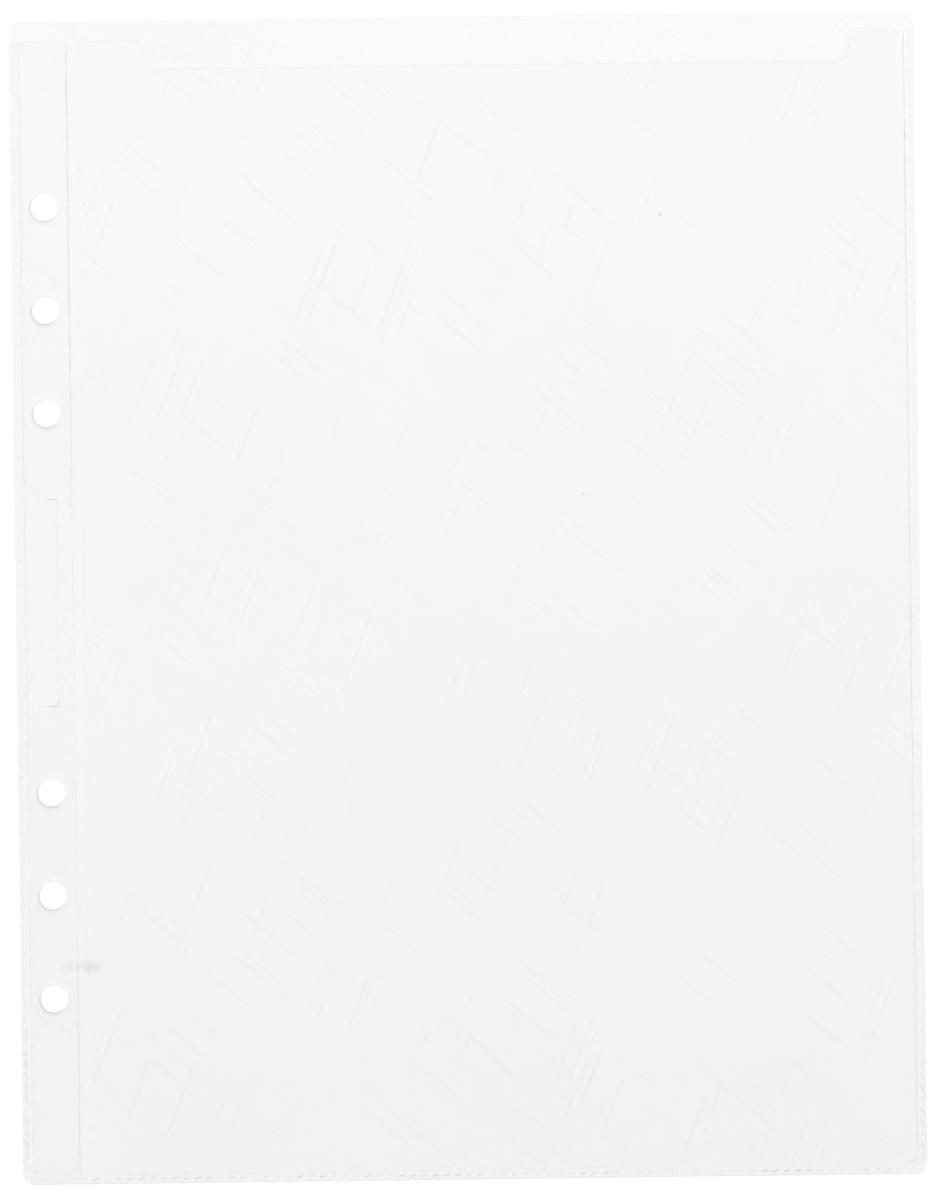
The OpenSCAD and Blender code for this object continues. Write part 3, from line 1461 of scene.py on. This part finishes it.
    def mark_roll(self, piece: bpy.types.Object) -> None:
        """Write to the mesh where shade is painted round the holes, most at their lower left.

        Args:
            piece: The punched film.
        """
        rolled = piece.data.attributes.new("rolled", "FLOAT", "POINT")
        for vertex, mark in zip(piece.data.vertices, rolled.data):
            ring = 1.0 - smooth_step(0.0, self.roll_reach, self.from_hole(vertex.co))
            mark.value = ring * self.roll_share(vertex.co)

    def roll_share(self, place: Vector) -> float:
        """Tell how dark the painted shade round a hole is on the side where a place lies.

        Args:
            place: A point of a film.

        Returns:
            The share of the full painted shade.
        """
        away = min((place.xy - hole.xy for hole in self.plan.holes), key=lambda way: way.length)
        share = smooth_step(self.roll_start, 1.0, away.normalized().dot(self.roll_side))
        return self.roll_least + (1.0 - self.roll_least) * share

    def rim_bite(self, place: Vector) -> float:
        """Tell how dark the painted shade on a cut rim of the strip is, and round its holes.

        Args:
            place: A point of a film.

        Returns:
            The strength, about 1 on average.
        """
        if self.from_hole(place) < self.roll_reach:
            return self.roll_share(place)
        return self.plan.cut_bite(place)

    def from_hole(self, place: Vector) -> float:
        """Distance of a place from the rim of the nearest hole."""
        return min((place.xy - hole.xy).length for hole in self.plan.holes) - self.plan.hole_r

    def is_punched(self, place: Vector) -> bool:
        """Whether a side face is the wall of a hole."""
        return self.from_hole(place) < self.wall_reach

    def is_top_edge(self, place: Vector) -> bool:
        """Whether a side face is part of the cut top edge."""
        low = self.plan.front_top + (NEAR if place.z < self.plan.film else -NEAR)
        return place.y > low and place.x < self.plan.strip_right - NEAR

    def is_free(self, place: Vector) -> bool:
        """Whether a side face is a cut edge, rather than a joint with a weld."""
        return self.is_punched(place) or self.is_top_edge(place)

    def edge_weld(self) -> None:
        """Model the left edge weld."""
        piece = self.weld.upright("binding_edge_weld", True, self.left_press)
        dress(piece, self.weld_finish, Slot.WELD, ["left_edge_weld"])
        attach(piece, Body.STRIP.value)

    def border_bite(self, place: Vector) -> float:
        """Tell how strong the painted shade along the plate's border is: its ends darker than its long
        side.

        Args:
            place: A point of the plate.

        Returns:
            The strength, about 1 where the painted shade is full.
        """
        low, high = self.plan.label
        at_end = min(place.y - low.y, high.y - place.y) < self.border_end
        return self.border_bites[0 if at_end else 1] * uneven(place)

    def label_plate(self) -> None:
        """Model the bare plate with its pressed border."""
        low, high = self.plan.label
        piece = Bench.plane("binding_label_plate", (low.x, low.y), (high.x, high.y), self.weld.top)
        with Bench.editing(piece):
            bpy.ops.mesh.select_mode(type="FACE")
            bpy.ops.mesh.select_all(action="SELECT")
            for step in self.border_steps:
                bpy.ops.mesh.inset(thickness=step.across, depth=step.rise)
            Bench.pick(piece, Pick.VERT, lambda v: v.co.x < low.x + self.border_open)
            Bench.flatten(self.weld.top)
        columns = even_lines([low.x, high.x], self.border_cell)
        Bench.grid(piece, columns, even_lines([low.y, high.y], self.border_cell))
        Bench.close_down(piece, 0.0)
        Bench.mark_relief(piece, lambda c: True, WELD_WALLS, self.border_bite)
        Bench.smooth(piece)
        dress(piece, self.weld_finish, Slot.WELD, ["label_plate"])
        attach(piece, Body.STRIP.value)


@dataclass
class FoldLine:
    """The spine weld and the foot weld, which both bend where the pocket folds."""

    plan: SheetPlan
    weld: StitchedWeld
    weld_finish: bpy.types.Material
    groove: float = 0.085 * MM
    fold_depth: float = 0.07 * MM
    side_depth: float = 0.02 * MM
    bead: float = 0.16 * MM
    bead_rise: float = 0.026 * MM
    side_in: float = 0.15 * MM
    column: float = 0.2 * MM
    row: float = 2.5 * MM
    rim: float = 0.06 * MM
    rim_reach: float = 0.1 * MM
    # quiet, quiet_ease and quiet_share weaken the painted shade in the spine weld's lower middle
    quiet: tuple[float, float] = (-75.0 * MM, 12.0 * MM)
    quiet_ease: float = 20.0 * MM
    quiet_share: float = 0.62
    foot_press: EdgePress = EdgePress(stitches=0.88, crease=0.4, has_corner=False)
    foot_slant: float = math.radians(15.0)
    foot_stitch: tuple[float, float] = (1.25 * MM, 0.40 * MM)
    foot_wall: float = 0.10 * MM
    # share of the painted rim shade on the weld's head
    head_rim: float = 0.5

    def build(self) -> None:
        """Model and dress both welds."""
        self.spine()
        self.foot()

    def bend(self, piece: bpy.types.Object) -> None:
        """Bake a piece's transform into its mesh."""
        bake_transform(piece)

    def bite(self, place: Vector) -> float:
        """Tell how strong the painted shade and highlight along the spine weld are: weaker in its lower
        middle.

        Args:
            place: A point of the weld.

        Returns:
            The strength, about 1 where the painted shade is full.
        """
        if self.plan.is_above_front(place):
            return self.head_rim * self.plan.cut_bite(place)
        low, high = self.quiet
        share = smooth_step(low, low + self.quiet_ease, place.y)
        share -= smooth_step(high, high + self.quiet_ease, place.y)
        return (1.0 - self.quiet_share * share) * uneven(place)

    def spine(self) -> None:
        """Model the spine weld, headed by the back film where it stands above the front film."""
        plan = self.plan
        start = (plan.strip_right, plan.panel_foot)
        piece = Bench.plane("spine_fold_weld", start, (plan.pocket_left, plan.front_top), self.weld.top)
        lines = {
            plan.fold_x: -self.fold_depth,
            plan.fold_x + self.groove + self.bead: self.bead_rise,
            plan.pocket_left - self.side_in: -self.side_depth,
        }
        marks = [plan.strip_right, plan.fold_x + plan.fold_half, plan.pocket_left]
        for line in lines:
            reach = self.bead if lines[line] > 0 else self.groove
            marks += [line - reach, line, line + reach]
        rows = even_lines([plan.panel_foot, plan.front_top], self.row)
        Bench.grid(piece, even_lines(marks, self.column), rows)
        with Bench.editing(piece):
            for line, rise in lines.items():
                Bench.pick(piece, Pick.VERT, lambda v, line=line: abs(v.co.x - line) < HAIR)
                bpy.ops.transform.translate(value=(0.0, 0.0, rise))
        Bench.close_down(piece, 0.0)
        head = Bench.plane(
            "spine_head", (plan.strip_right, plan.front_top), (plan.pocket_left, plan.top), 0.0
        )
        Bench.grid(head, even_lines([plan.strip_right, plan.pocket_left], self.column), [])
        Bench.thicken(head, plan.film)
        Bench.round_edges(head, lambda c: c.y > plan.top - NEAR, self.rim)
        Bench.join(piece, [head])
        Bench.mark_relief(piece, lambda c: c.y < plan.top - self.rim_reach, WELD_WALLS, self.bite)
        Bench.smooth(piece)
        dress(piece, self.weld_finish, Slot.WELD, ["spine_weld"])
        self.bend(piece)

    def foot(self) -> None:
        """Model the foot weld between the two edge welds."""
        plan = self.plan
        length, width = self.foot_stitch
        weld = replace(
            self.weld, slant=self.foot_slant, stitch_length=length, stitch_width=width, wall=self.foot_wall
        )
        piece = weld.run("foot_edge_weld", plan.pocket_right - plan.strip_left, 1.0)
        weld.place(piece, (plan.strip_left, plan.foot), 0.0)
        near = [plan.fold_x - plan.fold_half, plan.fold_x + plan.fold_half]
        Bench.grid(piece, even_lines(near, self.column), [])
        weld.fill_foot_crease(piece)
        weld.finish(
            piece, lambda c: c.y > plan.foot + NEAR, lambda c: c.y - plan.foot, self.foot_press
        )
        dress(piece, self.weld_finish, Slot.WELD, ["strip_foot_weld", "pocket_foot_weld"])
        self.bend(piece)


@dataclass
class Pocket:
    """The two large films, the right edge weld and the lip of the mouth."""

    plan: SheetPlan
    drape: Drape
    weld: StitchedWeld
    film_finish: bpy.types.Material
    front_finish: bpy.types.Material
    weld_finish: bpy.types.Material
    rim: float = 0.07 * MM
    cell: float = 4.0 * MM
    lip_cell: float = 2.2 * MM
    notch_depth: float = 5.3 * MM
    notch_from_spine: float = 12.2 * MM
    notch_from_right: float = 10.1 * MM
    notch_r: float = 2.5 * MM
    notch_segments: int = 8
    tab_r: float = 1.5 * MM
    cutter_reach: float = 2.0 * MM
    cutter_height: float = 6.0 * MM
    trim: float = 1.0 * MM
    right_press: EdgePress = EdgePress(stitches=0.88, crease=0.65, has_corner=True)
    eases: tuple[float, ...] = (0.8 * MM, 2.0 * MM, 3.5 * MM)
    columns: list[float] = field(default_factory=list)
    rows: list[float] = field(default_factory=list)

    def build(self) -> None:
        """Model and dress the pocket."""
        plan = self.plan
        marks = [plan.pocket_left, plan.gusset_left, plan.gusset_right, plan.pocket_right]
        marks += [plan.pocket_left + ease for ease in self.eases]
        marks += [plan.pocket_right - ease for ease in self.eases]
        self.columns = even_lines(marks, self.cell)
        ups = [plan.panel_foot, plan.crease] + [plan.panel_foot + ease for ease in self.eases]
        lip_rows = even_lines([plan.crease, plan.front_top], self.lip_cell)
        self.rows = even_lines(ups, self.cell)[:-1] + lip_rows + [plan.top]
        self.back_panel()
        self.front_panel()
        cutter = self.notch_cutter()
        for part in LipPart:
            self.lip(part, cutter)
        Bench.scrap(cutter)
        self.edge_weld()

    def back_panel(self) -> None:
        """Model the back film of the pocket, which stands above the front film at the mouth."""
        plan = self.plan
        piece = Bench.plane(
            "pocket_back_panel", (plan.pocket_left, plan.panel_foot), (plan.right, plan.top), 0.0
        )
        Bench.round_corner(piece, (plan.right, plan.top), plan.corner_r)
        Bench.grid(piece, self.columns, self.rows)
        Bench.grid(piece, [plan.pocket_right], [plan.front_top])
        Bench.drop_faces(piece, lambda c: c.x > plan.pocket_right and c.y < plan.front_top)
        Bench.thicken(piece, plan.film)
        self.finish_film(piece, False)
        dress(piece, self.film_finish, Slot.FILM, ["pocket_back_film"])
        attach(piece, Body.POCKET.value)

    def front_panel(self) -> None:
        """Model the front film of the pocket around its lip."""
        plan = self.plan
        piece = Bench.plane(
            "pocket_front_panel",
            (plan.pocket_left, plan.panel_foot),
            (plan.pocket_right, plan.front_top),
            plan.front_z,
        )
        with Bench.editing(piece):
            Bench.slice((0.0, plan.crease), (0.0, 1.0))
            Bench.slice((plan.lip_left, plan.front_top), (1.0, 1.0))
            Bench.slice((plan.lip_right, plan.front_top), (-1.0, 1.0))
        Bench.drop_faces(piece, self.in_lip)
        Bench.grid(piece, self.columns, self.rows)
        self.drape.cut_corners(piece)
        Bench.thicken(piece, plan.film)
        self.finish_film(piece, True)
        dress(piece, self.front_finish, Slot.FILM, ["pocket_front_film"])
        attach(piece, Body.POCKET.value)

    def in_lip(self, place: Vector) -> bool:
        """Whether a place lies in the lip of the front film.

        Args:
            place: A point of the front film.

        Returns:
            True between the crease and both slanted sides.
        """
        plan = self.plan
        down = plan.front_top - place.y
        return place.y > plan.crease and place.x - plan.lip_left > down and plan.lip_right - place.x > down

    @property
    def notch(self) -> tuple[float, float, float]:
        """Left side, right side and floor of the thumb notch."""
        right = self.plan.pocket_right - self.notch_from_right
        return self.plan.pocket_left + self.notch_from_spine, right, self.plan.front_top - self.notch_depth

    def notch_cutter(self) -> bpy.types.Object:
        """Make the cutter that trims the lip's top edge and its thumb notch.

        Returns:
            A block with a rounded tongue.
        """
        plan = self.plan
        left, right, floor = self.notch
        over = self.cutter_reach
        piece = Bench.plane("notch_cutter", (plan.left, floor), (plan.right, plan.top + over), -over)
        Bench.grid(piece, [left, right], [plan.front_top])
        Bench.drop_faces(piece, lambda c: c.y < plan.front_top and not left < c.x < right)
        Bench.thicken(piece, self.cutter_height)
        for line, radius in ((floor, self.notch_r), (plan.front_top, self.tab_r)):
            with Bench.editing(piece):
                Bench.pick(
                    piece,
                    Pick.EDGE,
                    lambda edge, line=line: all(
                        abs(v.co.y - line) < HAIR and min(abs(v.co.x - left), abs(v.co.x - right)) < HAIR
                        for v in edge.verts
                    )
                    and abs(edge.verts[0].co.z - edge.verts[1].co.z) > self.cutter_height / 2,
                )
                bpy.ops.mesh.bevel(
                    offset=radius, segments=self.notch_segments, affect="EDGES", clamp_overlap=False
                )
        return piece

    def lip(self, part: LipPart, cutter: bpy.types.Object) -> None:
        """Model one part of the lip.

        Args:
            part: Which part.
            cutter: The cutter for the top edge and the notch.
        """
        plan = self.plan
        top = plan.front_top + self.trim
        low_x = {LipPart.LEFT: plan.lip_left - self.trim, LipPart.MIDDLE: plan.gusset_left}
        high_x = {LipPart.RIGHT: plan.lip_right + self.trim, LipPart.MIDDLE: plan.gusset_right}
        piece = Bench.plane(
            f"mouth_lip_{part.value}",
            (low_x.get(part, plan.gusset_right), plan.crease),
            (high_x.get(part, plan.gusset_left), top),
            plan.front_z,
        )
        with Bench.editing(piece):
            if part is LipPart.LEFT:
                Bench.slice((plan.lip_left, plan.front_top), (-1.0, -1.0), clear=True)
            if part is LipPart.RIGHT:
                Bench.slice((plan.lip_right, plan.front_top), (1.0, -1.0), clear=True)
        Bench.grid(piece, self.columns, self.rows)
        Bench.thicken(piece, plan.film)
        Bench.carve(piece, cutter)
        self.finish_film(piece, True)
        dress(piece, self.front_finish, Slot.FILM, ["front_lip_film"])
        start, end = self.lip_weights(part)
        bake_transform(piece)
        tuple(start)
        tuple(end)

    def lip_weights(self, part: LipPart) -> tuple[tuple[float, float, float], tuple[float, float, float]]:
        """Where a part of the lip would start to bend and where it would follow the lip.

        A gusset would stay with the pocket along its slanted side and meet the middle's bend on the other;
        the points are not used to bend the lip.

        Args:
            part: Which part.

        Returns:
            The start and the end of the bend.
        """
        plan = self.plan
        z = plan.front_z
        if part is LipPart.MIDDLE:
            return (0.0, plan.crease, z), (0.0, plan.front_top, z)
        inner = plan.gusset_left if part is LipPart.LEFT else plan.gusset_right
        outer = plan.lip_left if part is LipPart.LEFT else plan.lip_right
        return ((inner + outer) / 2, (plan.crease + plan.front_top) / 2, z), (inner, plan.front_top, z)

    def finish_film(self, piece: bpy.types.Object, is_front: bool) -> None:
        """Round a film's cut edges, drape it and mark where shade and a highlight are painted on it.

        Args:
            piece: The film.
            is_front: Whether it is the front film.
        """
        free = self.front_free if is_front else self.back_free
        Bench.round_edges(piece, free, self.rim)
        self.drape.lay(piece, self.plan.pocket_hold, is_front)
        Bench.mark_relief(piece, lambda c: not free(c), FILM_WALLS, self.plan.cut_bite)
        Bench.smooth(piece)

    def back_free(self, place: Vector) -> bool:
        """Whether a side face is part of the back film's cut top edge.

        Args:
            place: Middle of the side face.

        Returns:
            True on the top edge and its right end.
        """
        plan = self.plan
        at_right = place.y > plan.front_top + NEAR and place.x > plan.pocket_right + NEAR
        return place.y > plan.top - NEAR or at_right

    def front_free(self, place: Vector) -> bool:
        """Whether a side face is part of the front film's cut top edge.

        Args:
            place: Middle of the side face.

        Returns:
            True on the top edge and around the notch.
        """
        plan = self.plan
        left, right, floor = self.notch
        reach = self.tab_r + NEAR
        in_notch = place.y > floor - NEAR and left - reach < place.x < right + reach
        is_seam = min(abs(place.x - plan.gusset_left), abs(place.x - plan.gusset_right)) < NEAR
        return place.y > plan.front_top - NEAR or (in_notch and not is_seam)

    def edge_weld(self) -> None:
        """Model the right edge weld."""
        piece = self.weld.upright("pocket_edge_weld", False, self.right_press)
        dress(piece, self.weld_finish, Slot.WELD, ["right_edge_weld"])
        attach(piece, Body.POCKET.value)


@dataclass(frozen=True)
class Softbox:
    """A soft lamp that faces the envelope: where it hangs, its size and its power in watts."""

    name: str
    place: tuple[float, float, float]
    size: tuple[float, float]
    power: float

    def hang(self) -> None:
        """Hang the lamp."""
        light = bpy.data.lights.new(self.name, "AREA")
        light.shape = "RECTANGLE"
        light.size, light.size_y = self.size
        light.energy = self.power
        lamp = bpy.data.objects.new(self.name, light)
        lamp.location = self.place
        lamp.rotation_mode = "QUATERNION"
        lamp.rotation_quaternion = (-Vector(self.place)).to_track_quat("-Z", "Y")
        bpy.context.scene.collection.objects.link(lamp)


@dataclass(frozen=True)
class Studio:
    """Pale floor, soft lamps and a camera that looks straight down."""

    photo_px_per_m: float = 5419.0
    photo_middle: tuple[float, float] = (467.99, 597.86)
    photo_turn: float = math.radians(0.73)
    lens: float = 85.0
    sensor: float = 36.0
    floor_size: float = 24.0
    floor_drop: float = 0.1 * MM
    floor_diffuse: float = 0.14
    floor_white: float = 0.90
    dim: float = 0.22
    bright: float = 0.92
    horizon: float = 0.30
    ceiling_ramp: tuple[float, float] = (-0.35, 0.35)
    wall_ramp: tuple[float, float] = (0.55, 0.93)
    key: Softbox = Softbox("key_softbox", place=(0.75, 1.05, 1.15), size=(1.6, 1.1), power=21.0)
    fill: Softbox = Softbox("fill_softbox", place=(-1.2, -0.55, 0.95), size=(1.0, 1.0), power=8.5)

    def build(self) -> None:
        """Set up the floor, the light and the camera."""
        self.floor()
        self.world()
        self.key.hang()
        self.fill.hang()
        self.camera()

    def floor(self) -> None:
        """Lay the floor, which looks white and keeps the shadow."""
        reach = self.floor_size / 2
        piece = Bench.plane("studio_floor", (-reach, -reach), (reach, reach), -self.floor_drop)
        material = bpy.data.materials.new("studio_floor")
        wires = Wiring.fresh(material)
        ray = wires.node("LightPath", {}, {}, "Is Camera Ray")
        seen = ray + ray.sibling("Is Glossy Ray") + ray.sibling("Is Transmission Ray")
        seen = seen.math("MINIMUM", seen, 1.0)
        matt = wires.node("BsdfDiffuse", {}, {"Color": self.grey(self.floor_diffuse)})
        glow = wires.node("Emission", {}, {"Color": self.grey(1.0), "Strength": seen * self.floor_white})
        both = wires.node("AddShader", {}, {0: matt, 1: glow})
        wires.node("OutputMaterial", {}, {"Surface": both})
        piece.data.materials.append(material)

    def world(self) -> None:
        """Make the soft room: a pale ceiling, brighter on the key lamp's side, and darker walls."""
        world = bpy.data.worlds.new("studio_room")
        bpy.context.scene.world = world
        wires = Wiring.fresh(world)
        way = wires.node("TexCoord", {}, {}, "Generated")
        back = wires.node("SeparateXYZ", {}, {"Vector": way}, "Y")
        height = back.sibling("Z").ramp(*self.wall_ramp)
        shares = back.ramp(*self.ceiling_ramp)
        ceiling = wires.mix_colour(shares, self.grey(self.dim), self.grey(self.bright))
        colour = wires.mix_colour(height, self.grey(self.horizon), ceiling)
        room = wires.node("Background", {}, {"Color": colour, "Strength": 1.0})
        wires.node("OutputWorld", {}, {"Surface": room})

    @staticmethod
    def grey(level: float) -> tuple[float, float, float, float]:
        """A grey of a level from 0 to 1."""
        return (level, level, level, 1.0)

    def camera(self) -> None:
        """Hang the camera over the envelope as in the photograph."""
        data = bpy.data.cameras.new("copy_stand_camera")
        data.lens = self.lens
        data.sensor_fit = "AUTO"
        data.sensor_width = self.sensor
        away = self.lens / self.sensor * PHOTO_SIZE[1] / self.photo_px_per_m
        right = (PHOTO_SIZE[0] / 2 - self.photo_middle[0]) / self.photo_px_per_m
        up = (self.photo_middle[1] - PHOTO_SIZE[1] / 2) / self.photo_px_per_m
        camera = bpy.data.objects.new("copy_stand_camera", data)
        camera.location = (right, up, away)
        camera.rotation_euler = (0.0, 0.0, -self.photo_turn)
        bpy.context.scene.collection.objects.link(camera)
        bpy.context.scene.camera = camera


def main() -> None:
    """Build the envelope and its studio."""
    logging.basicConfig(level=logging.INFO, format="%(name)s: %(message)s")
    scene = bpy.context.scene
    scene.view_settings.view_transform = "Standard"
    scene.cycles.transparent_max_bounces = CLEAR_LAYERS
    Studio().build()
    plan = SheetPlan.from_frame(frame)
    drape = Drape(plan)
    weld = StitchedWeld(plan, width=plan.strip_left - plan.left, top=2 * plan.film - WELD_SINK)
    smudge = (plan.pocket_left + GREY_PATCH[0], plan.foot + GREY_PATCH[1])
    # the finishes set the strength of their painted shade and highlight, and carry the soft grey patch
    back = ClearFinish("clear_back_film", haze=0.060, tint=WARM, mirror=0.038).build()
    front = ClearFinish(
        "clear_front_film", haze=0.004, mirror=0.016, rim_alpha=0.10, smudge=smudge, specks=SPECKS
    ).build()
    fused = ClearFinish(
        "fused_weld", haze=0.068, tint=WARM, mirror=0.045, rim_alpha=0.34, blush_alpha=0.26, smudge=smudge
    ).build()
    BindingStrip(plan, drape, weld, back, front, fused).build()
    FoldLine(plan, weld, fused).build()
    Pocket(plan, drape, weld, back, front, fused).build()


if __name__ == "__main__":
    main()
